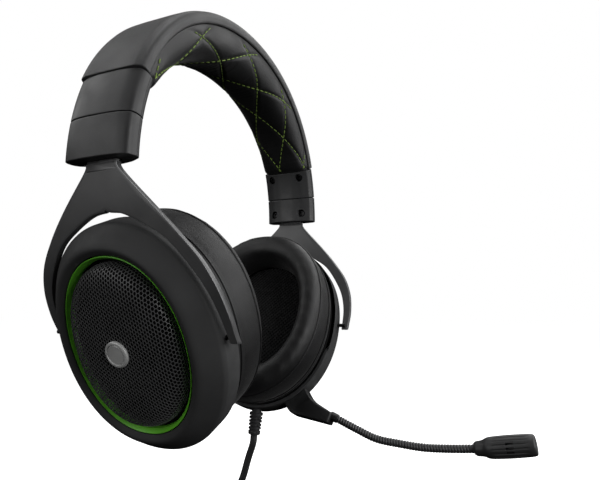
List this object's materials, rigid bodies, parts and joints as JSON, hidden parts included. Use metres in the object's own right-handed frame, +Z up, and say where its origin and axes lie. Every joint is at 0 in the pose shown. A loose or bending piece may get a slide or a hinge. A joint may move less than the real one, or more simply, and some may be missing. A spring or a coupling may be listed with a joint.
{
  "type": "gaming headset",
  "caption": "Over-ear wired headset: padded band on sliding yokes, tilting oval ear cups with mesh grilles, boom microphone, cable with plug.",
  "frame": {"origin": "underside of the headband pad at the crown, where the headset rests on the head", "axes": "+Z up, -Y the way the wearer faces, +X towards the wearer's left ear"},
  "size_m": [0.1768, 0.1953, 0.3245],
  "materials": {
    "shell": "satin moulded",
    "inner_shell": "fine moulded",
    "steel": "bright",
    "yoke_metal": "satin with bright edges",
    "leather": "fine grain",
    "grille_metal": "perforated mesh",
    "green": "satin",
    "badge": "satin",
    "cloth": "open knit",
    "rubber": "matte",
    "gold": "plated"
  },
  "bodies": {
    "headband": {"headband_cover": "leather", "headband_pad": "leather", "spring_band": "steel", "left_lower_sleeve_shell": "shell", "left_lower_sleeve_plate": "shell", "left_lower_front_screw": "steel", "left_lower_rear_screw": "steel", "left_upper_sleeve_shell": "shell", "left_upper_sleeve_plate": "shell", "left_upper_front_screw": "steel", "left_upper_rear_screw": "steel", "right_lower_sleeve_shell": "shell", "right_lower_sleeve_plate": "shell", "right_lower_front_screw": "steel", "right_lower_rear_screw": "steel", "right_upper_sleeve_shell": "shell", "right_upper_sleeve_plate": "shell", "right_upper_front_screw": "steel", "right_upper_rear_screw": "steel"},
    "left_yoke": {"left_yoke": "yoke_metal", "left_front_pivot_pin": "steel", "left_rear_pivot_pin": "steel"},
    "right_yoke": {"right_yoke": "yoke_metal", "right_front_pivot_pin": "steel", "right_rear_pivot_pin": "steel"},
    "left_cup": {"left_bezel": "shell", "left_housing": "inner_shell", "left_accent_ring": "green", "left_grille": "grille_metal", "left_badge": "badge", "left_baffle": "inner_shell", "left_driver": "steel", "left_scrim": "cloth", "left_ear_cushion": "leather", "mic_socket": "gold", "strain_relief": "rubber", "cable_lead": "rubber", "cable_coil": "rubber", "cable_tie": "rubber", "cable_tail": "rubber", "plug_grip": "rubber", "plug_pin": "gold"},
    "right_cup": {"right_bezel": "shell", "right_housing": "inner_shell", "right_accent_ring": "green", "right_grille": "grille_metal", "right_badge": "badge", "right_baffle": "inner_shell", "right_driver": "steel", "right_scrim": "cloth", "right_ear_cushion": "leather"},
    "volume_dial": {"volume_dial": "rubber"},
    "mute_button": {"mute_button": "rubber"},
    "mic": {"mic_foot": "shell", "mic_jack": "gold"},
    "boom_1": {"boom_segment_1": "rubber"},
    "boom_2": {"boom_segment_2": "rubber"},
    "boom_3": {"boom_segment_3": "rubber", "mic_head": "shell"}
  },
  "joints": [
    {"name": "left_slide", "type": "slide", "parent": "headband", "child": "left_yoke", "axis": [0.0872, 0, -0.9962], "range_m": [0, 0.024]},
    {"name": "right_slide", "type": "slide", "parent": "headband", "child": "right_yoke", "axis": [-0.0872, 0, -0.9962], "range_m": [0, 0.024]},
    {"name": "left_tilt", "type": "hinge", "parent": "left_yoke", "child": "left_cup", "pos_m": [0.0586, 0, -0.1345], "axis": [0, 1, 0], "range_deg": [-10, 10]},
    {"name": "right_tilt", "type": "hinge", "parent": "right_yoke", "child": "right_cup", "pos_m": [-0.0586, 0, -0.1345], "axis": [0, 1, 0], "range_deg": [-10, 10]},
    {"name": "volume", "type": "hinge", "parent": "left_cup", "child": "volume_dial", "pos_m": [0.05032, 0.03377, -0.14662], "axis": [0.9243, 0.0244, -0.381], "range_deg": [-135, 135]},
    {"name": "mute", "type": "slide", "parent": "left_cup", "child": "mute_button", "axis": [0.2764, -0.7311, 0.6237], "range_m": [0, 0.0008], "stiffness_N_per_m": 900},
    {"name": "mic_unplug", "type": "slide", "parent": "left_cup", "child": "mic", "axis": [-0.3, -0.5706, -0.7645], "range_m": [0, 0.014]},
    {"name": "boom_lift", "type": "hinge", "parent": "mic", "child": "boom_1", "pos_m": [0.0372, -0.0494, -0.1819], "axis": [1, 0, 0], "range_deg": [-30, 30]},
    {"name": "boom_reach", "type": "hinge", "parent": "boom_1", "child": "boom_2", "pos_m": [0.0372, -0.0695, -0.1894], "axis": [0, 0, 1], "range_deg": [-35, 35]},
    {"name": "boom_curl", "type": "hinge", "parent": "boom_2", "child": "boom_3", "pos_m": [0.0366, -0.0928, -0.1909], "axis": [1, 0, 0], "range_deg": [-35, 35]}
  ]
}
